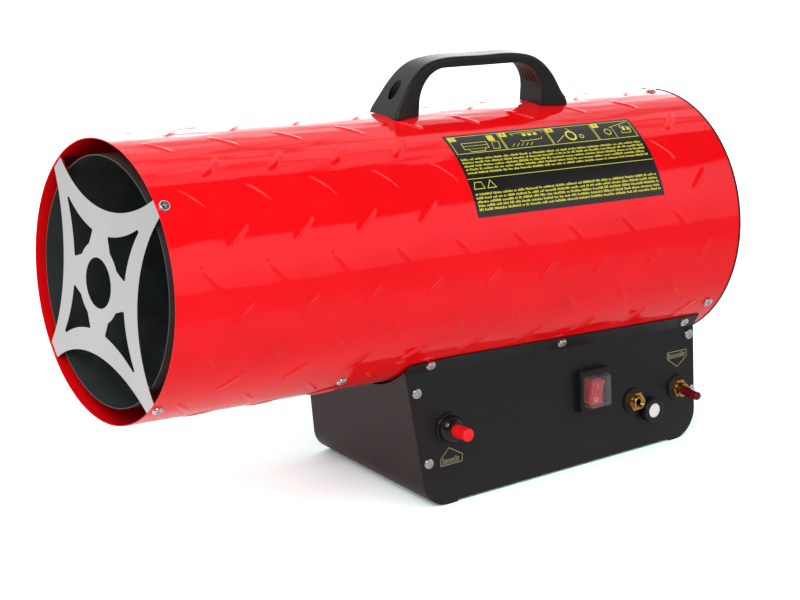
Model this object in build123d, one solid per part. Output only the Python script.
from build123d import *
from math import asin, atan, cos, degrees, hypot, pi, radians, sin, sqrt, tan
import os

# A portable forced air gas heater: a red drum on a black sheet steel base.
# The frame: +Z up, +X to the air inlet at the rear, -Y to the control panel,
# origin on the floor under the middle of the whole heater. Millimetres.

# ---------------------------------------------------------------- the drum
DRUM_R = 115.0
SHELL_T = 0.8
SHELL_IN = DRUM_R - SHELL_T
DRUM_HALF = 293.0
DRUM_X = -0.8
DRUM_Z = 211.5
DRUM_TILT = 3.5

# ---------------------------------------------------------------- the base
BASE_X = DRUM_X + 119.0
BASE_HALF_X = 154.8
BASE_HALF_Y = 86.0
FRONT_LEAN = 0.14
SIDE_LEAN = 0.0678
SIDE_ANGLE = degrees(atan(SIDE_LEAN))
BASE_TOP = 150.0
BASE_CORNER = 26.0
FOOT_END = 123.0
FOOT_STEP = 2.2
SHEET_T = 1.0
FLANGE = 14.0
FOLD_R = 120.0
STRIP_NORMAL = 211.0
STRIP_S = (-47.0, 279.0)
STRIP_WIDTH = 14.7
STRIP_TAPER = (50.0, 11.0)
STRIP_SCREW_S = (-25.0, 118.0, 263.0)
STRIP_SCREW_UP = 8.4
PANEL_SCREWS = ((-161.6, 105.4), (-152.3, 41.3), (148.0, 97.5), (149.4, 44.0))
LOUVRES = (7, 3)
LOUVRE_PITCH = (25.0, 14.0)
LOUVRE_AT = (-75.0, 45.0)
LOUVRE_SIZE = (18.0, 4.0)
WALL_GAP = 2.0

# ---------------------------------------------------------------- screws
SCREW_R = 2.4
SCREW_HEAD_R = 4.7
SCREW_HEAD_H = 2.6
HOLE_PLAY = 0.1
RUNNING_PLAY = 0.05

# ---------------------------------------------------------------- combustion chamber
CHAMBER_R = 101.5
CHAMBER_IN = CHAMBER_R - SHELL_T
CHAMBER_S = (-290.2, -25.0)
SPACERS = ((-111.0, (229.0, 311.0, 90.0)), (-201.0, (270.0, 30.0, 150.0)))
CHAMBER_SCREWS = ((-111.0, 229.0), (-111.0, 311.0), (-201.0, 270.0))
PLATE_S = -51.2
PLATE_R = 84.0
PLATE_T = 1.2
STRAP_HALF = 12.0
BURNER_SIDE = 45.0
BURNER_DROP = -20.0
BURNER_SCREW_SIDE = 32.0
AIR_SLOTS = 12
AIR_SLOT_R = 62.0
AIR_SLOT_SIZE = (24.0, 7.0)
NOZZLE_HOLE_R = 5.2
ROD_HOLE_R = 4.1
CUP_R = 19.0
CUP_DEPTH = 24.0
CUP_HOLES = 8
CUP_HOLE_R = 2.2
CUP_RING_R = 12.5
CUP_MOUTH_R = 6.0
CUP_PORT_R = 3.0
DISC_R = 38.0
DISC_AHEAD = 44.0
DISC_POST_R = 2.0
DISC_POST_RING = 31.0
INJECTOR_HEX_R = 8.0
INJECTOR_HEX_S = (8.0, 26.0)
INJECTOR_R = 4.2
INJECTOR_TIP_R = 2.2
INSULATOR_R = 4.0
INSULATOR_S = (-14.0, 24.0)
SPARK_ROD_R = 1.2
SPARK_ROD_S = (28.0, -24.0, -32.0)
PROBE_R = 2.5
PROBE_S = (-30.0, 22.0)

# ---------------------------------------------------------------- front guard
GUARD_S = -296.3
GUARD_TIP_S = -292.0
GUARD_T = 1.2
GUARD_TIP_HALF = 7.4
GUARD_TAB_END = -277.0
GUARD_WAIST = 60.6
GUARD_HOLE_R = 20.5
WINDOW_TIP = 88.5
WINDOW_SIDE = (42.6, 29.0)
WINDOW_RING_R = 33.0
GUARD_SCREW_S = -286.4
GUARD_ANGLES = (46.2, 136.7, 226.7, 316.7)
GUARD_TWIST = 1.5

# ---------------------------------------------------------------- fan and motor
REAR_ANGLES = (90.0, 213.0, 327.0)
REAR_SCREW_S = 278.0
FAN_S = 150.0
FAN_R = 98.0
FAN_HUB_R = 22.0
BLADES = 5
BLADE_PITCH = 60.0
SHAFT_R = 4.0
SHAFT_S = (128.0, 250.0)
FAN_HUB_S = (-8.0, 10.0)
BLADE_BOW = 95.0
BLADE_CHORD = 64.0
BLADE_T = 1.4
ROTOR_R = 27.4
STATOR_R = (38.5, 28.0)
STATOR_SLOTS = 12
BEARING_R = 9.0
MOTOR_WALL = 1.5
MOTOR_SCREW_R = 2.0
MOTOR_SCREW_RING = 32.0
MOTOR_SCREW_ANGLES = (30.0, 150.0, 270.0)
ARM_WIDTH = 22.0
TAB_HALF = 7.0
MOTOR_R = 40.0
MOTOR_S = (186.0, 240.0)
MOTOR_CAP_S = 248.0
BRACKET_S = 250.0
WIRE_R = 1.5
SPOKE_R = 1.2
SPOKE_BACK = 0.5
REAR_RINGS = (28.0, 52.0, 76.0, 98.0)
HOOP_R = 112.4
EDGING_R = 115.5
EDGING_BACK = 0.9
EDGING_END = 0.7

# ---------------------------------------------------------------- handle
HANDLE_MID = 67.4
HANDLE_BASE = 114.4
HANDLE_OUTSIDE = (
    (-26.6, HANDLE_BASE),
    (-21.9, 125.0),
    (-14.8, 137.0),
    (-5.4, 148.6),
    (6.4, 157.2),
    (21.0, 161.2),
)
HANDLE_TOP = 162.2
HANDLE_FLARE = ((-29.0, 24.4), (-15.2, 17.9), (0.0, 15.0), (20.0, 12.1))
GRIP_HALF_Y = 11.5
GRIP_UNDER = 153.8
GAP_HALF = 66.8
GAP_CORNER = 28.0
GROOVES = (-8.0, -4.0, 0.0, 4.0, 8.0)
GROOVE_WIDTH = 1.3
GROOVE_DEPTH = 1.0
GROOVE_LOW = 134.0
EDGE_ROUND = 3.0
HANDLE_SEAT = 124.0
HANDLE_HOLE_R = 5.3
HANDLE_HEAD_R = 4.2
HANDLE_SCREW_S = (-15.0, 149.8)

# ---------------------------------------------------------------- controls on the panel
PIEZO = (-129.0, 67.9)
SWITCH = (29.5, 70.1)
INLET = (80.3, 47.9)
GLAND = (98.2, 36.4)
VALVE = (133.5, 49.6)
BUTTON_PLAY = 0.3
COLLAR_R = 12.0
COLLAR_H = 2.2

# ---------------------------------------------------------------- piezo igniter
PIEZO_FLANGE_R = 13.9
PIEZO_FLANGE_H = 2.2
PIEZO_DOME_R = 12.5
PIEZO_DOME_TOP = (7.6, 11.2)
PIEZO_DOME_BOW = (11.3, 7.6)
PIEZO_BARREL_R = 10.9
PIEZO_BUTTON_R = 5.75
PIEZO_BUTTON_END = 28.7
PIEZO_BORE = PIEZO_BUTTON_R + BUTTON_PLAY
PIEZO_DEPTH = 48.0

# ---------------------------------------------------------------- mains switch
SWITCH_W, SWITCH_H = 22.0, 28.4
BEZEL_W, BEZEL_H = 32.6, 38.0
BEZEL_OUT = 7.0
BEZEL_WEB = 1.2
HOOD_W, HOOD_H = 27.6, 28.8
HOOD_FRONT_W, HOOD_FRONT_H = 23.4, 28.4
HOOD_SHOULDER = 6.0
HOOD_OUT = 15.6
HOOD_WALL = 0.8
ROCKER_W, ROCKER_H = 14.2, 22.0
ROCKER_LIP = 12.4
ROCKER_DIP = 10.6
ROCKER_SKIRT = -5.0
ROCKER_DRAW = 1.8
ROCKER_PIVOT = -2.0
ROCKER_PIN_R = 1.2
ROCKER_REST = 11.0
ROCKER_ROOM = 1.0

# ---------------------------------------------------------------- gas inlet, gland and valve
INLET_R = 6.6
INLET_FLATS = 15.6
INLET_HEX_END = 5.4
INLET_END = 9.4
INLET_BORE_R = 2.8
INLET_SHANK_R = 7.3
GLAND_BARREL_R = 7.9
GLAND_FLATS = 18.0
GLAND_NUT_R = 11.4
GLAND_RIBS = 10
GLAND_PLUG_R = 6.7
GLAND_THREAD_R = 8.2
GLAND_HEX_END = 2.4
GLAND_NUT_END = 9.0
GLAND_LIP = 1.6
RIB_CUT_R = 1.8
BLOCK_X = (64.0, 144.0)
BLOCK_Z = (38.0, 62.0)
BLOCK_H = (-38.0, -16.0)
THERMO_X = 104.0
NECK_R = 6.3
NECK_END = 9.6
VALVE_TILT = 6.0
VALVE_FLATS = 14.8
VALVE_NUT_END = 4.8
VALVE_BUTTON_R = 4.3
VALVE_TIP_R = 3.9
VALVE_BUTTON_END = 29.6
VALVE_BORE = VALVE_BUTTON_R + BUTTON_PLAY
STEM_R = 2.0
STEM_HEAD_R = 3.6
UNION_R = 6.0
UNION_L = 6.0

# ---------------------------------------------------------------- window for pipe and leads
WINDOW_S = (58.0, 112.0)
WINDOW_HALF_Y = 20.0
PIPE_R = 4.0
LEAD_R = 2.5
THIN_LEAD_R = 2.0
SOLENOID = (BASE_X - 44.0, 0.0, 30.0)
SOLENOID_SIZE = (34.0, 28.0, 28.0)
SOLENOID_FOOT = (46.0, 20.0, 1.5)
SOLENOID_PORT_R = 7.0
COIL_R = 16.0
COIL_L = 34.0
TERMINAL_SIZE = (46.0, 22.0, 15.0)
TERMINAL_PITCH = 11.0
TERMINAL_CELL = (9.0, 9.0)
TERMINALS = (BASE_X + 60.0, 20.0)
LABEL_T = 0.25
LABEL_S = (-1.0, 206.0)
LABEL_ANGLE = (136.3, 20.3)
FLOOR = FOOT_STEP + SHEET_T
INJECTOR_REAR = PLATE_S + 30.0


# ================================================================ frames
DRUM = Location((DRUM_X, 0, DRUM_Z), (0, DRUM_TILT, 0))
CROSS = Plane.YZ.location
PANEL_NORMAL = (0, -cos(radians(SIDE_ANGLE)), sin(radians(SIDE_ANGLE)))
PANEL = Plane(origin=(BASE_X, -BASE_HALF_Y, 0), x_dir=(1, 0, 0), z_dir=PANEL_NORMAL).location
OTHER_SIDE = Plane.XZ
STANDING = (Align.CENTER, Align.CENTER, Align.MIN)
HANGING = (Align.CENTER, Align.CENTER, Align.MAX)


def along(sketch, start, end):
    """A section in the drum's (y, v) plane, carried from start to end along the drum."""
    return DRUM * Pos(start, 0, 0) * CROSS * extrude(sketch, end - start)


def tube(outer, inner, start, end):
    return along(Circle(outer) - Circle(inner), start, end)


def rod(radius, start, end, side=0.0, up=0.0):
    return along(Pos(side, up) * Circle(radius), start, end)


def radial(angle, s, radius=0.0):
    """A place at a drum angle, counted from +Y over the top: local Z points outwards."""
    return DRUM * Rot(angle - 90, 0, 0) * Pos(s, 0, radius)


def ring_point(radius, angle):
    return (radius * cos(radians(angle)), radius * sin(radians(angle)))


def sector(outer, inner, start, end, angle, half_angle):
    """A curved plate: a piece of a tube between two drum angles."""
    far = 2 * outer
    wedge = Polygon(
        (0, 0),
        ring_point(far, angle - half_angle),
        ring_point(far, angle + half_angle),
        align=None,
    )
    return along((Circle(outer) - Circle(inner)) & wedge, start, end)


def on_panel(x, z, h=0.0):
    """A place on the control panel: local Z points out of the panel."""
    return PANEL * Pos(x, z / cos(radians(SIDE_ANGLE)), h)


def stub(radius, start, end):
    """A cylinder along local Z from start to end."""
    return Pos(0, 0, start) * Cylinder(radius, end - start, align=STANDING)


def hexagon(across_flats, start, end):
    corner = across_flats / 2 / cos(radians(30))
    return Pos(0, 0, start) * extrude(RegularPolygon(corner, 6), end - start)


def group(pieces):
    return Compound(children=list(pieces))


def drum_point(s, y, v):
    turn = radians(DRUM_TILT)
    return (DRUM_X + s * cos(turn) + v * sin(turn), y, DRUM_Z - s * sin(turn) + v * cos(turn))


def base_point(x, y, z):
    return (BASE_X + x, y, z)


def fold_point(s):
    """Where the control panel's plane passes FOLD_R from the drum's axis: its fold line."""
    turn = radians(DRUM_TILT)
    near = -BASE_HALF_Y + SIDE_LEAN * (DRUM_Z - s * sin(turn))
    lean = SIDE_LEAN * cos(turn)
    under = sqrt((near * lean) ** 2 - (1 + lean**2) * (near**2 - FOLD_R**2))
    v = (-near * lean - under) / (1 + lean**2)
    return Vector(*drum_point(s, near + lean * v, v))


def strip_plane():
    """The folded strip's outer face: local X runs along the fold, Y up the strip."""
    start = fold_point(STRIP_S[0])
    run = (fold_point(STRIP_S[1]) - start).normalized()
    out = radial(STRIP_NORMAL, 0, 1).position - radial(STRIP_NORMAL, 0, 0).position
    return Plane(origin=start, x_dir=run, z_dir=out - run * out.dot(run))


def strip_place():
    return strip_plane().location


def both_sides(piece):
    return [piece, mirror(piece, about=OTHER_SIDE)]


# ================================================================ screws
def pan_screw(length, head_r=SCREW_HEAD_R, shank_r=SCREW_R):
    """A pan head screw standing on local Z = 0, with a cross recess."""
    head = stub(head_r, 0, SCREW_HEAD_H)
    head = fillet(head.edges().group_by(Axis.Z)[-1], SCREW_HEAD_H * 0.6)
    recess = Pos(0, 0, SCREW_HEAD_H) * (Box(head_r * 1.1, 1.1, 2.4) + Box(1.1, head_r * 1.1, 2.4))
    return head - recess + stub(shank_r, -length, 0)


def screw_hole(length, shank_r=SCREW_R):
    return stub(shank_r + HOLE_PLAY, -length, length)


def strip_screw_places():
    return [strip_place() * Pos(s - STRIP_S[0], STRIP_SCREW_UP, 0) for s in STRIP_SCREW_S]


def front_screw_places():
    return [radial(angle, GUARD_SCREW_S, DRUM_R) for angle in GUARD_ANGLES]


def rear_screw_places():
    return [radial(angle, REAR_SCREW_S, DRUM_R) for angle in REAR_ANGLES]


def chamber_screw_places():
    return [radial(angle, s, DRUM_R) for s, angle in CHAMBER_SCREWS]


def screws_at(places, length):
    return group(place * pan_screw(length) for place in places)


# ================================================================ drum
def window_cutter():
    length = WINDOW_S[1] - WINDOW_S[0]
    middle = (WINDOW_S[0] + WINDOW_S[1]) / 2
    slot = extrude(RectangleRounded(length, 2 * WINDOW_HALF_Y, 8), 20, both=True)
    return radial(270, middle, DRUM_R) * slot


def handle_screw_places():
    return [radial(90, s, 0) for s in HANDLE_SCREW_S]


def outer_shell():
    shell = tube(DRUM_R, SHELL_IN, -DRUM_HALF, DRUM_HALF)
    for place in front_screw_places() + rear_screw_places() + chamber_screw_places():
        shell -= place * screw_hole(6)
    for place in strip_screw_places():
        for hole in both_sides(place * screw_hole(8)):
            shell -= hole
    for place in handle_screw_places():
        shell -= place * Pos(0, 0, DRUM_R) * screw_hole(6)
    return shell - window_cutter()


def shell_grommet():
    """Rubber edging round the window, a lip on each face of the sheet."""
    middle = (WINDOW_S[0] + WINDOW_S[1]) / 2
    length = WINDOW_S[1] - WINDOW_S[0]
    width = 2 * WINDOW_HALF_Y
    lip, wall = 2.0, 1.2
    outer = extrude(RectangleRounded(length + 2 * lip, width + 2 * lip, 10), 20, both=True)
    inner = extrude(RectangleRounded(length - 2 * wall, width - 2 * wall, 8 - wall), 20, both=True)
    place = radial(270, middle, DRUM_R)
    band = place * (outer - inner)
    band &= tube(DRUM_R + wall, SHELL_IN - wall, WINDOW_S[0] - 9, WINDOW_S[1] + 9)
    sheet = tube(DRUM_R, SHELL_IN, WINDOW_S[0] - 9, WINDOW_S[1] + 9) - window_cutter()
    return band - sheet


# ================================================================ front guard
def guard_outline():
    """The X plate seen along the drum: four arms, curved waists, kite windows."""
    tip = sqrt(SHELL_IN**2 - GUARD_TIP_HALF**2)
    corners = []
    for angle in GUARD_ANGLES:
        turn = radians(angle)
        for side in (-GUARD_TIP_HALF, GUARD_TIP_HALF):
            corners.append((tip * cos(turn) - side * sin(turn), tip * sin(turn) + side * cos(turn)))
    edges = []
    for k in range(4):
        start, end = corners[2 * k + 1], corners[(2 * k + 2) % 8]
        edges.append(Line(corners[2 * k], start))
        edges.append(ThreePointArc(start, ring_point(GUARD_WAIST, 90 * k + 90 + GUARD_TWIST), end))
    plate = make_face(edges)
    plate -= Circle(GUARD_HOLE_R)
    for angle in GUARD_ANGLES:
        plate -= Rot(0, 0, angle) * guard_window()
    return plate


def guard_window():
    """One window, its long point on local X."""
    side_r, spread = WINDOW_SIDE
    tip = (WINDOW_TIP, 0)
    left, right = ring_point(side_r, spread), ring_point(side_r, -spread)
    shoulder = 14.0
    inner_l, inner_r = ring_point(WINDOW_RING_R, shoulder), ring_point(WINDOW_RING_R, -shoulder)
    bulge = 3.6
    middle = ((tip[0] + left[0]) / 2, (tip[1] + left[1]) / 2)
    run = hypot(tip[0] - left[0], tip[1] - left[1])
    bow = (middle[0] - bulge * left[1] / run, middle[1] - bulge * (tip[0] - left[0]) / run)
    edges = [
        ThreePointArc(tip, bow, left),
        Line(left, inner_l),
        ThreePointArc(inner_l, (WINDOW_RING_R, 0), inner_r),
        Line(inner_r, right),
        ThreePointArc(right, (bow[0], -bow[1]), tip),
    ]
    window = make_face(edges)
    return fillet(window.vertices(), 1.6)


def front_guard():
    sag = GUARD_TIP_S - GUARD_S
    dome = (SHELL_IN**2 + sag**2) / (2 * sag)
    centre = DRUM * Pos(GUARD_S + dome, 0, 0)
    skin = centre * Sphere(dome) - centre * Sphere(dome - GUARD_T)
    plate = along(guard_outline() & Circle(SHELL_IN), GUARD_S - 1, GUARD_TIP_S + 4) & skin
    half_angle = degrees(asin(GUARD_TIP_HALF / SHELL_IN))
    for angle in GUARD_ANGLES:
        plate += sector(SHELL_IN, SHELL_IN - GUARD_T, GUARD_TIP_S + 0.2, GUARD_TAB_END, angle, half_angle)
    for place in front_screw_places():
        plate -= place * screw_hole(6)
    return plate


# ================================================================ combustion chamber


def combustion_chamber():
    wall = tube(CHAMBER_R, CHAMBER_IN, *CHAMBER_S)
    for place in chamber_screw_places():
        wall -= place * stub(SCREW_R + HOLE_PLAY, -20, 0)
    return wall


def chamber_spacer(s, angle, screwed):
    """A hat bracket that holds the chamber off the drum."""
    half, foot, length, t = 9.0, 8.0, 30.0, 1.0
    start, end = s - length / 2, s + length / 2
    top = degrees(half / SHELL_IN)
    inside = degrees((half - t) / SHELL_IN)
    spread = degrees((half + foot) / CHAMBER_R)
    cap = sector(SHELL_IN, SHELL_IN - t, start, end, angle, top)
    feet = sector(CHAMBER_R + t, CHAMBER_R, start, end, angle, spread)
    feet -= sector(CHAMBER_R + t, CHAMBER_R, start - t, end + t, angle, inside)
    walls = sector(SHELL_IN, CHAMBER_R, start, end, angle, top)
    walls -= sector(SHELL_IN, CHAMBER_R, start - t, end + t, angle, inside)
    bracket = cap + feet + walls
    if screwed:
        bracket -= radial(angle, s, DRUM_R) * screw_hole(6)
    return bracket


def chamber_spacers():
    pieces = []
    for s, angles in SPACERS:
        for angle in angles:
            pieces.append(chamber_spacer(s, angle, (s, angle) in CHAMBER_SCREWS))
    return group(pieces)


def burner_plate():
    """The round plate behind the flame, with slots for the air in a ring."""
    plate = Circle(PLATE_R) - Circle(NOZZLE_HOLE_R)
    for k in range(AIR_SLOTS):
        place = Rot(0, 0, 360 * (k + 0.5) / AIR_SLOTS) * Pos(AIR_SLOT_R, 0)
        plate -= place * SlotOverall(*AIR_SLOT_SIZE)
    for turn in (-1, 1):
        plate -= Pos(turn * BURNER_SIDE, BURNER_DROP) * Circle(ROD_HOLE_R)
        plate -= Pos(turn * BURNER_SCREW_SIDE, 0) * Circle(SCREW_R + HOLE_PLAY)
    return along(plate, PLATE_S, PLATE_S + PLATE_T)


def burner_bracket():
    """A strap across the chamber that carries the burner plate."""
    strap_s = PLATE_S + PLATE_T
    strap = Rectangle(2 * CHAMBER_IN, 2 * STRAP_HALF) & Circle(CHAMBER_IN)
    strap -= Circle(NOZZLE_HOLE_R)
    for turn in (-1, 1):
        strap -= Pos(turn * BURNER_SCREW_SIDE, 0) * Circle(SCREW_R + HOLE_PLAY)
        strap -= Pos(turn * BURNER_SIDE, BURNER_DROP) * Circle(9)
    piece = along(strap, strap_s, strap_s + PLATE_T)
    half_angle = degrees(asin(STRAP_HALF / CHAMBER_IN))
    for angle in (0, 180):
        piece += sector(CHAMBER_IN, CHAMBER_IN - PLATE_T, strap_s, CHAMBER_S[1] - 3, angle, half_angle)
    return piece


def burner_screws():
    places = []
    for side in (-BURNER_SCREW_SIDE, BURNER_SCREW_SIDE):
        places.append(DRUM * Pos(PLATE_S, side, 0) * Rot(0, -90, 0))
    return screws_at(places, 6)


def burner_cup():
    """The cup on the plate's front, where gas and air mix and catch fire."""
    front = PLATE_S - CUP_DEPTH
    cup = tube(CUP_R, CUP_R - SHEET_T, front, PLATE_S)
    face = Circle(CUP_R) - Circle(CUP_MOUTH_R)
    for k in range(CUP_HOLES):
        face -= Rot(0, 0, 360 * k / CUP_HOLES) * Pos(CUP_RING_R, 0) * Circle(CUP_HOLE_R)
    cup += along(face, front, front + SHEET_T)
    for k in range(CUP_HOLES):
        port = DRUM * Rot(360 * (k + 0.5) / CUP_HOLES, 0, 0) * Pos(PLATE_S - CUP_DEPTH / 2, 0, 0)
        cup -= port * stub(CUP_PORT_R, CUP_R - 4, CUP_R + 4)
    return cup


def flame_disc():
    """A round baffle ahead of the burner cup, on three posts from the plate."""
    disc_s = PLATE_S - DISC_AHEAD
    disc = tube(DISC_R, INJECTOR_R, disc_s, disc_s + PLATE_T)
    for angle in (90, 210, 330):
        y, v = ring_point(DISC_POST_RING, angle)
        disc += rod(DISC_POST_R, disc_s, PLATE_S, y, v)
    return disc


def gas_injector():
    """A hexagon behind the plate whose nozzle reaches into the burner cup."""
    start, end = INJECTOR_HEX_S
    body = along(RegularPolygon(INJECTOR_HEX_R, 6), PLATE_S + start, PLATE_S + end)
    nozzle = rod(INJECTOR_R, PLATE_S - 6, PLATE_S + start)
    tip = DRUM * Pos(PLATE_S - 8, 0, 0) * CROSS * Cone(INJECTOR_TIP_R, INJECTOR_R, 4)
    rear = rod(UNION_R, INJECTOR_REAR - 4, INJECTOR_REAR)
    return body + nozzle + tip + rear - rod(1, PLATE_S - 12, PLATE_S + 20)


def electrode_insulator():
    start, end = (PLATE_S + step for step in INSULATOR_S)
    piece = rod(INSULATOR_R, start, end, BURNER_SIDE, BURNER_DROP)
    flange = rod(INSULATOR_R + 3, PLATE_S + PLATE_T, PLATE_S + PLATE_T + 4, BURNER_SIDE, BURNER_DROP)
    return piece + flange - rod(SPARK_ROD_R, start - 6, end + 6, BURNER_SIDE, BURNER_DROP)


def electrode_rod():
    """The spark rod, bent towards the burner cup."""
    rear, bend, tip = (PLATE_S + step for step in SPARK_ROD_S)
    points = [
        drum_point(rear, BURNER_SIDE, BURNER_DROP),
        drum_point(bend, BURNER_SIDE, BURNER_DROP),
        drum_point(tip, BURNER_SIDE - 14, BURNER_DROP + 6),
    ]
    path = FilletPolyline(*points, radius=5)
    return sweep(Plane(origin=path @ 0, z_dir=path % 0) * Circle(SPARK_ROD_R), path=path)


# ================================================================ fan and motor
def fan_blade():
    """Bowed sheet blades on a hub, pitched across the air stream."""
    start, end = FAN_HUB_S
    hub = tube(FAN_HUB_R, SHAFT_R, FAN_S + start, FAN_S + end)
    arc = Circle(BLADE_BOW + BLADE_T / 2) - Circle(BLADE_BOW - BLADE_T / 2)
    section = Pos(0, -BLADE_BOW) * arc & (Pos(0, -3) * Rectangle(BLADE_CHORD, 14))
    section = Rot(0, 0, BLADE_PITCH) * section
    envelope = tube(FAN_R, FAN_HUB_R - 4, FAN_S - 40, FAN_S + 40)
    for k in range(BLADES):
        blade = radial(90 + 360 * k / BLADES, FAN_S) * extrude(section, FAN_R + 6)
        hub += blade & envelope
    return hub


def fan_nut():
    nut = DRUM * Pos(FAN_S - 15, 0, 0) * CROSS * extrude(RegularPolygon(7.5, 6), 7)
    return nut - rod(SHAFT_R, FAN_S - 20, FAN_S)


def motor_shaft():
    return rod(SHAFT_R, *SHAFT_S)


def motor_rotor():
    return tube(ROTOR_R, SHAFT_R, MOTOR_S[0] + 12, MOTOR_S[1] - 10)


def motor_stator():
    outer, inner = STATOR_R
    ring = Circle(outer) - Circle(inner)
    for k in range(STATOR_SLOTS):
        ring -= Rot(0, 0, 360 * k / STATOR_SLOTS) * Pos(inner + 2, 0) * Rectangle(6, 4)
    return along(ring, MOTOR_S[0] + 10, MOTOR_S[1] - 8)


def motor_housing():
    """The motor's pot with its front bearing seat."""
    front = MOTOR_S[0]
    body = tube(MOTOR_R, MOTOR_R - MOTOR_WALL, *MOTOR_S)
    body += tube(MOTOR_R, BEARING_R, front, front + 2)
    body += tube(BEARING_R + 3, BEARING_R, front - 6, front + 6)
    return body


def motor_end_cap():
    cap = tube(MOTOR_R, BEARING_R, MOTOR_S[1], MOTOR_CAP_S)
    for place in motor_screw_places():
        cap -= place * screw_hole(30, MOTOR_SCREW_R)
    return cap


def motor_bearings():
    inner = SHAFT_R + RUNNING_PLAY
    front = tube(BEARING_R, inner, MOTOR_S[0] - 4, MOTOR_S[0] + 4)
    rear = tube(BEARING_R, inner, MOTOR_S[1], MOTOR_CAP_S)
    return group([front, rear])


def motor_screw_places():
    places = []
    for angle in MOTOR_SCREW_ANGLES:
        y, v = ring_point(MOTOR_SCREW_RING, angle)
        places.append(DRUM * Pos(BRACKET_S, y, v) * Rot(0, 90, 0))
    return places


def motor_screws():
    return group(place * pan_screw(13, 3.6, MOTOR_SCREW_R) for place in motor_screw_places())


def motor_bracket():
    """A three-armed sheet spider whose bent ends are screwed to the drum."""
    spider = Circle(MOTOR_R) - Circle(10)
    for angle in REAR_ANGLES:
        arm = Pos(SHELL_IN / 2, 0) * Rectangle(SHELL_IN, ARM_WIDTH)
        spider += (Rot(0, 0, angle) * arm & Circle(SHELL_IN)) - Circle(MOTOR_R - 4)
    piece = along(spider, MOTOR_CAP_S, BRACKET_S)
    half_angle = degrees(asin(ARM_WIDTH / 2 / SHELL_IN))
    for angle in REAR_ANGLES:
        piece += sector(SHELL_IN, SHELL_IN - SHEET_T, MOTOR_CAP_S, REAR_SCREW_S + 8, angle, half_angle)
    for place in rear_screw_places():
        piece -= place * screw_hole(6)
    for place in motor_screw_places():
        piece -= place * screw_hole(30, MOTOR_SCREW_R)
    return piece


def rear_guard():
    """A grille of wire rings and spokes, whose rim closes over the drum's edge."""
    ring_place = DRUM * Pos(DRUM_HALF, 0, 0) * Rot(0, 90, 0)
    grille = ring_place * Torus(HOOP_R, WIRE_R)
    for radius in REAR_RINGS:
        grille += ring_place * Torus(radius, WIRE_R)
    for k in range(6):
        spoke = stub(SPOKE_R, REAR_RINGS[0], HOOP_R)
        grille += DRUM * Rot(60 * k, 0, 0) * Pos(DRUM_HALF - SPOKE_BACK, 0, 0) * spoke
    grille += tube(EDGING_R, SHELL_IN - SHEET_T, DRUM_HALF + RUNNING_PLAY, DRUM_HALF + EDGING_END)
    grille += tube(EDGING_R, DRUM_R + RUNNING_PLAY, DRUM_HALF - EDGING_BACK, DRUM_HALF + EDGING_END)
    half_angle = degrees(asin(TAB_HALF / SHELL_IN))
    outer, start, end = SHELL_IN - SHEET_T, REAR_SCREW_S - 6, DRUM_HALF - SPOKE_BACK
    for angle in REAR_ANGLES:
        grille += sector(outer, outer - SHEET_T, start, end, angle, half_angle)
    for place in rear_screw_places():
        grille -= place * screw_hole(6)
    return grille


# ================================================================ handle
def both_ends(points, middle):
    """The points of one end, the middle point, and the mirrored points of the other end."""
    far = [(2 * HANDLE_MID - s, value) for s, value in reversed(points)]
    return [*points, (HANDLE_MID, middle), *far]


def handle_gap(grow=0.0):
    """The finger opening seen from the side, in drum coordinates (s, v)."""
    low, top = HANDLE_BASE - 20, GRIP_UNDER + grow
    left, right = HANDLE_MID - GAP_HALF - grow, HANDLE_MID + GAP_HALF + grow
    gap = Polygon((left, low), (right, low), (right, top), (left, top), align=None)
    return fillet(gap.vertices().group_by(Axis.Y)[-1], GAP_CORNER + grow)


def handle_blank():
    """The bridge without its opening: the side outline cut to the flared plan, edges rounded."""
    outside = both_ends(HANDLE_OUTSIDE, HANDLE_TOP)
    arch = Spline(*outside, tangents=((0.2, 1), (0.2, -1)))
    profile = make_face([arch, Line(outside[-1], outside[0])])
    near = both_ends(HANDLE_FLARE, GRIP_HALF_Y)
    far = [(s, -y) for s, y in reversed(near)]
    plan = make_face([Spline(*near), Line(near[-1], far[0]), Spline(*far), Line(far[-1], near[0])])
    blank = extrude(Plane.XZ * profile, 40, both=True) & Pos(0, 0, 100) * extrude(plan, 100)
    return fillet(blank.edges().filter_by(lambda edge: edge.length > 2 * HANDLE_MID + 60), EDGE_ROUND)


def handle():
    body = handle_blank() - extrude(Plane.XZ * handle_gap(), 40, both=True)
    band = handle_gap(GROOVE_DEPTH) - handle_gap()
    band &= Pos(HANDLE_MID, GROOVE_LOW + 20) * Rectangle(3 * GAP_HALF, 40)
    for y in GROOVES:
        body -= Pos(0, y, 0) * extrude(Plane.XZ * band, GROOVE_WIDTH / 2, both=True)
    body = DRUM * body - tube(DRUM_R, DRUM_R - 20, -100, 300)
    for place in handle_screw_places():
        body -= place * stub(HANDLE_HOLE_R, HANDLE_SEAT, 200)
        body -= place * stub(SCREW_R + HOLE_PLAY, 100, HANDLE_SEAT + 1)
    return body


def handle_screws():
    head = Pos(0, 0, HANDLE_SEAT) * pan_screw(20, HANDLE_HEAD_R)
    return group(place * head for place in handle_screw_places())


# ================================================================ base
def base_blank():
    """The base seen from the control side, in (x, z), without its feet."""
    lean = FRONT_LEAN * BASE_TOP
    outline = make_face(
        Polyline(
            (-BASE_HALF_X, 0),
            (BASE_HALF_X, 0),
            (BASE_HALF_X, BASE_TOP),
            (-BASE_HALF_X - lean, BASE_TOP),
            close=True,
        )
    )
    return Pos(BASE_X, 0) * fillet(outline.vertices().group_by(Axis.Y)[0], BASE_CORNER)


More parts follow.
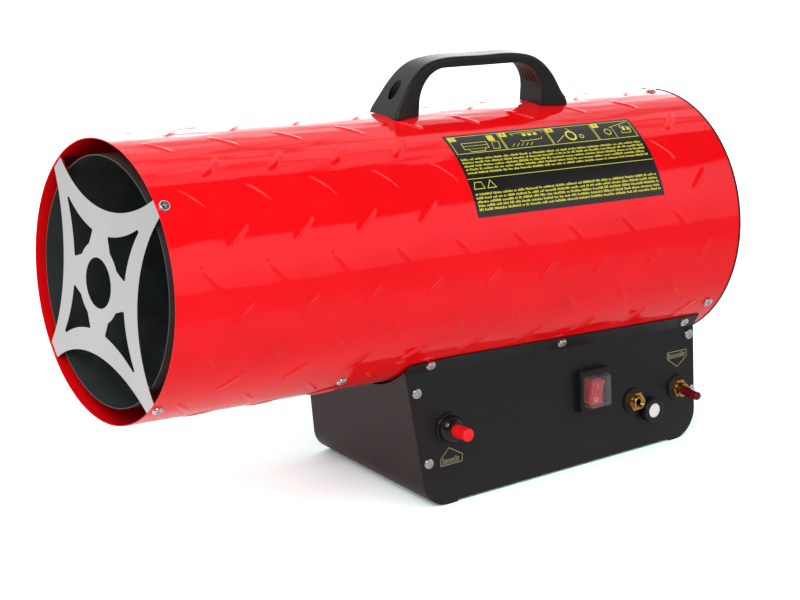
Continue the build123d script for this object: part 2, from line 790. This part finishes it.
def base_outline():
    """The blank, raised between two low feet."""
    step = FOOT_STEP
    recess = Polygon(
        (-FOOT_END, 0),
        (FOOT_END, 0),
        (FOOT_END - step, step),
        (-FOOT_END + step, step),
        align=None,
    )
    return base_blank() - Pos(BASE_X, 0) * recess


def layer(face, start, end):
    """A sheet of the base's outline lying along the control panel's plane."""
    block = extrude(Plane.XZ * face, 120, both=True)
    slab = PANEL * Pos(0, 0, start) * Box(700, 700, end - start, align=STANDING)
    return block & slab


def tray_room():
    """The space between the two side panels."""
    half = BASE_HALF_Y - SHEET_T / cos(radians(SIDE_ANGLE))
    top = BASE_TOP * 1.2
    section = Polygon(
        (-half, 0),
        (half, 0),
        (half - SIDE_LEAN * top, top),
        (-half + SIDE_LEAN * top, top),
        align=None,
    )
    return Pos(BASE_X, 0, 0) * extrude(Plane.YZ * section, 260, both=True)


def base_tray():
    outline = base_outline()
    inner = offset(outline, -SHEET_T, kind=Kind.INTERSECTION)
    wrap = extrude(Plane.XZ * (outline - inner), 120, both=True) & tray_room()
    rim = outline - offset(base_blank(), -FLANGE, kind=Kind.INTERSECTION)
    flange = layer(rim, -2 * SHEET_T, -SHEET_T) - rod(FOLD_R, -DRUM_HALF, DRUM_HALF)
    tray = wrap
    for piece in both_sides(flange):
        tray += piece
    tray -= rod(DRUM_R + WALL_GAP, -DRUM_HALF, DRUM_HALF)
    for x, z in PANEL_SCREWS:
        for hole in both_sides(on_panel(x, z) * stub(SCREW_R + HOLE_PLAY, -6, 2)):
            tray -= hole
    return tray


def panel_strip():
    """The strip folded out along the panel's top edge, narrower towards the front."""
    length = (fold_point(STRIP_S[1]) - fold_point(STRIP_S[0])).length
    run, narrow = STRIP_TAPER
    outline = Polygon(
        (0, -SHEET_T),
        (length, -SHEET_T),
        (length, STRIP_WIDTH),
        (run, STRIP_WIDTH),
        (0, narrow),
        align=None,
    )
    return strip_place() * extrude(outline, -SHEET_T)


def side_panel():
    """A flat side of the base whose top edge is folded out to lie along the drum."""
    strip = strip_plane()
    run, up_strip = strip.x_dir, strip.y_dir
    up_panel = Plane(PANEL).y_dir
    up_panel -= run * up_panel.dot(run)
    mitre = Plane(origin=strip.origin, x_dir=run, z_dir=up_strip + up_panel.normalized()).location
    plate = layer(base_outline(), -SHEET_T, 0) - mitre * Box(700, 200, 100, align=STANDING)
    panel = plate + (panel_strip() - mitre * Box(700, 200, 100, align=HANGING))
    for x, z in PANEL_SCREWS:
        panel -= on_panel(x, z) * stub(SCREW_R + HOLE_PLAY, -6, 2)
    for place in strip_screw_places():
        panel -= place * screw_hole(6)
    return panel


def control_panel():
    panel = side_panel()
    panel -= on_panel(*PIEZO) * stub(PIEZO_BARREL_R + HOLE_PLAY, -6, 2)
    panel -= on_panel(*SWITCH) * Box(SWITCH_W + 0.4, SWITCH_H + 0.4, 10)
    panel -= on_panel(*INLET) * stub(INLET_SHANK_R + HOLE_PLAY, -6, 2)
    panel -= on_panel(*GLAND) * stub(GLAND_BARREL_R + HOLE_PLAY, -6, 2)
    panel -= valve_place() * stub(NECK_R + HOLE_PLAY, -6, 4)
    return panel


def back_panel():
    panel = side_panel()
    for row in range(LOUVRES[1]):
        for k in range(LOUVRES[0]):
            place = on_panel(LOUVRE_AT[0] + LOUVRE_PITCH[0] * k, LOUVRE_AT[1] + LOUVRE_PITCH[1] * row)
            panel -= place * extrude(SlotOverall(*LOUVRE_SIZE), 4, both=True)
    return mirror(panel, about=OTHER_SIDE)


def panel_screws():
    pieces = []
    for x, z in PANEL_SCREWS:
        pieces += both_sides(on_panel(x, z) * pan_screw(8))
    return group(pieces)


def strip_screws():
    pieces = []
    for place in strip_screw_places():
        pieces += both_sides(place * pan_screw(7))
    return group(pieces)


# ================================================================ piezo igniter
def piezo_body():
    flange = stub(PIEZO_FLANGE_R, 0, PIEZO_FLANGE_H)
    flange = fillet(flange.edges().group_by(Axis.Z)[-1], 1.2)
    foot, top = (PIEZO_DOME_R, PIEZO_FLANGE_H - 0.4), PIEZO_DOME_TOP
    half = make_face(
        [
            ThreePointArc(foot, PIEZO_DOME_BOW, top),
            Line(top, (0, top[1])),
            Line((0, top[1]), (0, foot[1])),
            Line((0, foot[1]), foot),
        ]
    )
    dome = revolve(Plane.XZ * half, Axis.Z)
    barrel = stub(PIEZO_BARREL_R, -PIEZO_DEPTH, 0)
    terminal = stub(2.5, -PIEZO_DEPTH - 8, -PIEZO_DEPTH)
    bore = stub(PIEZO_BORE, -20, top[1] + 1)
    return on_panel(*PIEZO) * (flange + dome + barrel + terminal - bore)


def piezo_nut():
    nut = hexagon(28, -SHEET_T - 6, -SHEET_T) - stub(PIEZO_BARREL_R, -10, 0)
    return on_panel(*PIEZO) * nut


def piezo_button():
    button = stub(PIEZO_BUTTON_R, -12, PIEZO_BUTTON_END)
    button = fillet(button.edges().group_by(Axis.Z)[-1], 1.6)
    return on_panel(*PIEZO) * button


# ================================================================ mains switch
def switch_body():
    body = Box(SWITCH_W, SWITCH_H, 26, align=HANGING)
    well = Box(ROCKER_W + 2 * ROCKER_ROOM, ROCKER_H + 2, 14, align=HANGING)
    pivot = Pos(0, 0, ROCKER_PIVOT) * Rot(0, 90, 0)
    reach = ROCKER_W / 2 + ROCKER_ROOM + 1.4
    piece = body - well - pivot * stub(ROCKER_PIN_R + RUNNING_PLAY, -reach, reach)
    for x in (-5, 5):
        for y in (-7, 7):
            piece += Pos(x, y, -26) * Box(0.8, 4.8, 9, align=HANGING)
    return on_panel(*SWITCH) * piece


def switch_bezel():
    frame = extrude(RectangleRounded(BEZEL_W, BEZEL_H, 1.5), BEZEL_OUT)
    frame = chamfer(frame.edges().group_by(Axis.Z)[-1], 0.8)
    hole = extrude(RectangleRounded(SWITCH_W, SWITCH_H, 1), 2 * BEZEL_OUT, both=True)
    play = 2 * HOLE_PLAY
    room = Pos(0, 0, BEZEL_WEB) * extrude(RectangleRounded(HOOD_W + play, HOOD_H + play, 2), BEZEL_OUT)
    return on_panel(*SWITCH) * (frame - hole - room)


def switch_rocker():
    """A rocker whose two faces meet over its pivot, rested with its upper end out."""
    half, lip, skirt = ROCKER_H / 2, ROCKER_LIP, ROCKER_SKIRT
    foot = half - ROCKER_DRAW
    profile = make_face(
        [
            ThreePointArc((-half, lip), (0, ROCKER_DIP), (half, lip)),
            Line((half, lip), (foot, skirt)),
            Line((foot, skirt), (-foot, skirt)),
            Line((-foot, skirt), (-half, lip)),
        ]
    )
    body = extrude(Plane.YZ * profile, ROCKER_W / 2, both=True)
    reach = ROCKER_W / 2 + ROCKER_ROOM + 1.2
    pins = Rot(0, 90, 0) * stub(ROCKER_PIN_R, -reach, reach)
    return on_panel(*SWITCH, ROCKER_PIVOT) * Rot(ROCKER_REST, 0, 0) * (body + pins)


def hood_shape(inset):
    """The hood's outside, or its hollow when inset: a straight foot and a tapered cover."""
    draw = 2 * inset
    corner = 2.0 - inset / 2
    foot = RectangleRounded(HOOD_W - draw, HOOD_H - draw, corner)
    front = RectangleRounded(HOOD_FRONT_W - draw, HOOD_FRONT_H - draw, corner)
    base = Pos(0, 0, BEZEL_WEB) * extrude(foot, HOOD_SHOULDER - BEZEL_WEB)
    cover = loft([Pos(0, 0, HOOD_SHOULDER) * foot, Pos(0, 0, HOOD_OUT - inset) * front], ruled=True)
    return base + cover


def switch_hood():
    """The clear rubber hood over the rocker."""
    return on_panel(*SWITCH) * (hood_shape(0) - hood_shape(HOOD_WALL))


# ================================================================ gas inlet, gland
def gas_inlet_fitting():
    """A hexagon against the collar with the hose end standing out of it."""
    thread = stub(INLET_R, COLLAR_H, INLET_END)
    thread = chamfer(thread.edges().group_by(Axis.Z)[-1], 0.6)
    grip = hexagon(INLET_FLATS, COLLAR_H, INLET_HEX_END)
    body = thread + grip + stub(INLET_SHANK_R, BLOCK_H[1], COLLAR_H)
    body -= stub(INLET_BORE_R, BLOCK_H[1] - 1, INLET_END + 1)
    body -= Pos(0, 0, INLET_END - 1) * Cone(INLET_BORE_R, INLET_BORE_R + 2.2, 2.2)
    return on_panel(*INLET) * body


def rubber_collar():
    collar = stub(COLLAR_R, 0, COLLAR_H)
    return fillet(collar.edges().group_by(Axis.Z)[-1], 0.8)


def gas_inlet_collar():
    return on_panel(*INLET) * (rubber_collar() - stub(INLET_SHANK_R, -1, COLLAR_H + 1))


def cable_gland_body():
    body = stub(GLAND_BARREL_R, -13, 0) + hexagon(GLAND_FLATS, 0, GLAND_HEX_END)
    body += stub(GLAND_THREAD_R, 2, 7)
    return on_panel(*GLAND) * (body - stub(GLAND_PLUG_R, -14, 8))


def cable_gland_nut():
    """A round nut with grip cuts round it, hollow over the gland's thread."""
    nut = stub(GLAND_NUT_R, GLAND_HEX_END, GLAND_NUT_END)
    nut = fillet(nut.edges().group_by(Axis.Z)[-1], GLAND_LIP)
    nut -= stub(GLAND_THREAD_R, 2, GLAND_NUT_END - GLAND_LIP)
    nut -= stub(GLAND_PLUG_R + HOLE_PLAY, 2, GLAND_NUT_END + 1)
    for k in range(GLAND_RIBS):
        nut -= Rot(0, 0, 360 * k / GLAND_RIBS) * Pos(GLAND_NUT_R + 1, 0) * stub(RIB_CUT_R, 2, 8)
    return on_panel(*GLAND) * nut


def gland_plug():
    return on_panel(*GLAND) * (stub(GLAND_PLUG_R - HOLE_PLAY, -4, 8.2))


def gland_locknut():
    nut = hexagon(20, -SHEET_T - 5, -SHEET_T) - stub(GLAND_BARREL_R, -10, 0)
    return on_panel(*GLAND) * nut


# ================================================================ gas valve
def valve_place():
    """The valve's own axis: it leaves the panel a little downwards."""
    return on_panel(*VALVE) * Rot(VALVE_TILT, 0, 0)


def gas_valve_body():
    block = PANEL * Pos(sum(BLOCK_X) / 2, sum(BLOCK_Z) / 2, sum(BLOCK_H) / 2) * Box(
        BLOCK_X[1] - BLOCK_X[0], BLOCK_Z[1] - BLOCK_Z[0], BLOCK_H[1] - BLOCK_H[0]
    )
    block = chamfer(block.edges(), 1.0)
    block += valve_place() * stub(NECK_R, BLOCK_H[1] - 2, NECK_END)
    block -= valve_place() * stub(VALVE_BORE, BLOCK_H[0] + 4, NECK_END + 1)
    outlet = Rot(0, -90, 0) * stub(UNION_R, 0, UNION_L)
    block += PANEL * Pos(BLOCK_X[0], sum(BLOCK_Z) / 2, sum(BLOCK_H) / 2) * outlet
    block += PANEL * Pos(THERMO_X, sum(BLOCK_Z) / 2, BLOCK_H[0]) * stub(4, -6, 1)
    return block


def gas_valve_collar():
    return on_panel(*VALVE) * rubber_collar() - valve_place() * stub(NECK_R, -1, COLLAR_H + 2)


def gas_valve_nut():
    nut = hexagon(VALVE_FLATS, COLLAR_H, VALVE_NUT_END)
    nut &= Pos(0, 0, (COLLAR_H + VALVE_NUT_END) / 2) * Sphere(VALVE_FLATS * 0.6)
    return on_panel(*VALVE) * nut - valve_place() * stub(NECK_R, 0, NECK_END + 1)


def gas_valve_button():
    root, tip = NECK_END, VALVE_BUTTON_END
    grip = Pos(0, 0, (root + tip) / 2) * Cone(VALVE_BUTTON_R, VALVE_TIP_R, tip - root)
    grip += stub(VALVE_BUTTON_R, -6, root)
    grip = fillet(grip.edges().group_by(Axis.Z)[-1], 2.2)
    return valve_place() * (grip - stub(STEM_R, -8, 4))


def gas_valve_stem():
    return valve_place() * (stub(STEM_R, -24, 4) + stub(STEM_HEAD_R, -26, -24))


# ================================================================ inside the base
def solenoid_valve():
    x, y, z = SOLENOID
    width, depth, height = SOLENOID_SIZE
    block = chamfer((Pos(x, y, z) * Box(width, depth, height)).edges(), 1.0)
    block += Pos(x + width / 2, y, z) * Rot(0, 90, 0) * stub(SOLENOID_PORT_R, -1, UNION_L)
    block += Pos(x, y, z + height / 2) * stub(SOLENOID_PORT_R, -1, UNION_L)
    foot = Pos(x, y, FLOOR) * Box(*SOLENOID_FOOT, align=STANDING)
    side = SOLENOID_FOOT[1]
    post = Pos(x, y, FLOOR) * Box(side, side, z - height / 2 - FLOOR, align=STANDING)
    return block + foot + post


def solenoid_coil():
    x, y, z = SOLENOID
    start = y + SOLENOID_SIZE[1] / 2
    coil = Pos(x, start, z) * Rot(-90, 0, 0) * stub(COIL_R, 0, COIL_L)
    return fillet(coil.edges().filter_by(GeomType.CIRCLE), 2)


def terminal_block():
    """Four open cells in a row, a clamp screw in each."""
    body = Box(*TERMINAL_SIZE, align=STANDING)
    body = fillet(body.edges().filter_by(Axis.Z), 1.5)
    width, up = TERMINAL_CELL
    for k in range(4):
        cell = (k - 1.5) * TERMINAL_PITCH
        body -= Pos(cell, 0, up) * Box(width, TERMINAL_SIZE[1] + 1, 10, align=STANDING)
        body += Pos(cell, -4, up) * stub(3, -0.5, 2)
    return Pos(*TERMINALS, FLOOR) * body


def bend_radii(points):
    """The largest arc at each corner that the two runs beside it allow."""
    radii = []
    for before, corner, after in zip(points, points[1:], points[2:]):
        run_in = Vector(*corner) - Vector(*before)
        run_out = Vector(*after) - Vector(*corner)
        turn = radians(run_in.get_angle(run_out))
        radii.append(0.45 * min(run_in.length, run_out.length) / tan(turn / 2))
    return radii


def lead(name, points, radius):
    """A round lead along straight runs and arcs."""
    radii = bend_radii(points)
    path = FilletPolyline(*points, radius=radii)
    piece = sweep(Plane(origin=path @ 0, z_dir=path % 0) * Circle(radius), path=path)
    print(name, "length", round(path.length), "radii", [round(r) for r in radii])
    print(name, "volume share", round(piece.volume / (pi * radius**2 * path.length), 3))
    return piece


def panel_point(x, z, h):
    place = on_panel(x, z, h).position
    return (place.X, place.Y, place.Z)


def gas_pipe_valve():
    """From the gas valve's outlet to the solenoid valve."""
    outlet = PANEL * Pos(BLOCK_X[0] - UNION_L, sum(BLOCK_Z) / 2, sum(BLOCK_H) / 2)
    start = outlet.position
    x, y, z = SOLENOID
    face = x + SOLENOID_SIZE[0] / 2 + UNION_L
    points = [
        (start.X, start.Y, start.Z),
        (start.X - 30, start.Y, start.Z),
        (face + 24, y, z),
        (face, y, z),
    ]
    return lead("gas_pipe_valve", points, PIPE_R)


def gas_pipe_burner():
    """From the solenoid valve up through the window and forward to the injector."""
    x, y, z = SOLENOID
    top = z + SOLENOID_SIZE[2] / 2 + UNION_L
    turn_s = (x - DRUM_X) / cos(radians(DRUM_TILT))
    points = [
        (x, y, top),
        (x, y, drum_point(turn_s, 0, 0)[2] - 34),
        drum_point(turn_s - 34, 0, 0),
        drum_point(INJECTOR_REAR, 0, 0),
    ]
    path = FilletPolyline(*points, radius=30)
    return sweep(Plane(origin=path @ 0, z_dir=path % 0) * Circle(PIPE_R), path=path)


def thermocouple():
    """The probe beside the burner cup, its collar, and the lead to the gas valve."""
    start, end = (PLATE_S + step for step in PROBE_S)
    stem = rod(PROBE_R, start, end, -BURNER_SIDE, BURNER_DROP)
    collar = rod(6, PLATE_S + PLATE_T, PLATE_S + PLATE_T + 6, -BURNER_SIDE, BURNER_DROP)
    port = (PANEL * Pos(THERMO_X, sum(BLOCK_Z) / 2, BLOCK_H[0] - 6)).position
    points = [
        drum_point(end, -BURNER_SIDE, BURNER_DROP),
        drum_point(-10, -BURNER_SIDE, BURNER_DROP),
        drum_point(22, -BURNER_SIDE + 6, BURNER_DROP - 20),
        drum_point(50, -26, -70),
        drum_point(68, -13, -112),
        base_point(-34, -12, 66),
        base_point(0, -16, 66),
        base_point(50, -22, 68),
        (port.X - 20, port.Y + 26, port.Z + 6),
        (port.X, port.Y + 18, port.Z - 1.2),
        (port.X, port.Y, port.Z),
    ]
    return stem + collar + lead("thermocouple", points, PROBE_R / 2)


def ignition_lead():
    start = panel_point(*PIEZO, -PIEZO_DEPTH - 8)
    before = panel_point(*PIEZO, -PIEZO_DEPTH - 26)
    points = [
        start,
        before,
        base_point(-112, 4, 60),
        base_point(-80, 18, 55),
        base_point(-44, 24, 66),
        drum_point(84, 13, -112),
        drum_point(62, 24, -76),
        drum_point(34, 38, -40),
        drum_point(6, BURNER_SIDE, BURNER_DROP),
        drum_point(PLATE_S + SPARK_ROD_S[0], BURNER_SIDE, BURNER_DROP),
    ]
    return lead("ignition_lead", points, LEAD_R)


def motor_cable():
    x, y = TERMINALS
    points = [
        (x - 5.5, y - 11, FLOOR + 12),
        (x - 10, y - 22, FLOOR + 24),
        (x - 36, y - 16, FLOOR + 41),
        (x - 68, y - 10, FLOOR + 57),
        (x - 86, y - 10, FLOOR + 73),
        drum_point(98, 9, -112),
        drum_point(113, 5, -105),
        drum_point(142, 0, -106.5),
        drum_point(176, 2, -106),
        drum_point(204, 2, -84),
        drum_point(212, 0, -58),
        drum_point(212, 0, -MOTOR_R),
    ]
    return lead("motor_cable", points, LEAD_R)


def switch_lead():
    x, y = TERMINALS
    start = panel_point(SWITCH[0], SWITCH[1], -35)
    points = [
        start,
        panel_point(SWITCH[0] + 2, SWITCH[1], -52),
        (x - 26, y - 36, FLOOR + 44),
        (x - 20, y - 22, FLOOR + 22),
        (x - 16.5, y - 11, FLOOR + 12),
    ]
    return lead("switch_lead", points, THIN_LEAD_R)


def solenoid_lead():
    x, y = TERMINALS
    points = [
        (SOLENOID[0] + 16, 34, SOLENOID[2]),
        (SOLENOID[0] + 36, 34, SOLENOID[2]),
        (x - 46, y + 26, FLOOR + 14),
        (x - 20, y + 24, FLOOR + 14),
        (x - 16.5, y + 11, FLOOR + 12),
    ]
    return lead("solenoid_lead", points, THIN_LEAD_R)


def label_plate():
    """A printed foil on the upper near side of the drum."""
    return sector(DRUM_R + LABEL_T, DRUM_R, *LABEL_S, *LABEL_ANGLE)


# ================================================================ write the parts
NODES = {
    "outer_shell": outer_shell,
    "shell_grommet": shell_grommet,
    "front_guard": front_guard,
    "front_guard_screws": lambda: screws_at(front_screw_places(), 3),
    "combustion_chamber": combustion_chamber,
    "chamber_spacers": chamber_spacers,
    "chamber_screws": lambda: screws_at(chamber_screw_places(), 16),
    "burner_plate": burner_plate,
    "burner_bracket": burner_bracket,
    "burner_screws": burner_screws,
    "burner_cup": burner_cup,
    "flame_disc": flame_disc,
    "gas_injector": gas_injector,
    "electrode_insulator": electrode_insulator,
    "electrode_rod": electrode_rod,
    "fan_blade": fan_blade,
    "fan_nut": fan_nut,
    "motor_shaft": motor_shaft,
    "motor_rotor": motor_rotor,
    "motor_stator": motor_stator,
    "motor_housing": motor_housing,
    "motor_end_cap": motor_end_cap,
    "motor_bearings": motor_bearings,
    "motor_bracket": motor_bracket,
    "motor_screws": motor_screws,
    "rear_guard": rear_guard,
    "rear_guard_screws": lambda: screws_at(rear_screw_places(), 5),
    "handle": handle,
    "handle_screws": handle_screws,
    "label_plate": label_plate,
    "base_tray": base_tray,
    "control_panel": control_panel,
    "back_panel": back_panel,
    "panel_screws": panel_screws,
    "strip_screws": strip_screws,
    "piezo_body": piezo_body,
    "piezo_button": piezo_button,
    "switch_body": switch_body,
    "switch_bezel": switch_bezel,
    "switch_rocker": switch_rocker,
    "switch_hood": switch_hood,
    "gas_inlet_fitting": gas_inlet_fitting,
    "gas_inlet_collar": gas_inlet_collar,
    "cable_gland_body": cable_gland_body,
    "cable_gland_nut": cable_gland_nut,
    "gland_plug": gland_plug,
    "panel_lock_nuts": lambda: group([piezo_nut(), gland_locknut()]),
    "gas_valve_body": gas_valve_body,
    "gas_valve_collar": gas_valve_collar,
    "gas_valve_nut": gas_valve_nut,
    "gas_valve_button": gas_valve_button,
    "gas_valve_stem": gas_valve_stem,
    "solenoid_valve": solenoid_valve,
    "solenoid_coil": solenoid_coil,
    "terminal_block": terminal_block,
    "gas_pipes": lambda: group([gas_pipe_valve(), gas_pipe_burner()]),
    "thermocouple": thermocouple,
    "ignition_lead": ignition_lead,
    "motor_cable": motor_cable,
    "control_leads": lambda: group([switch_lead(), solenoid_lead()]),
}

os.makedirs("parts", exist_ok=True)
for node, make in NODES.items():
    export_step(make(), f"parts/{node}.step")
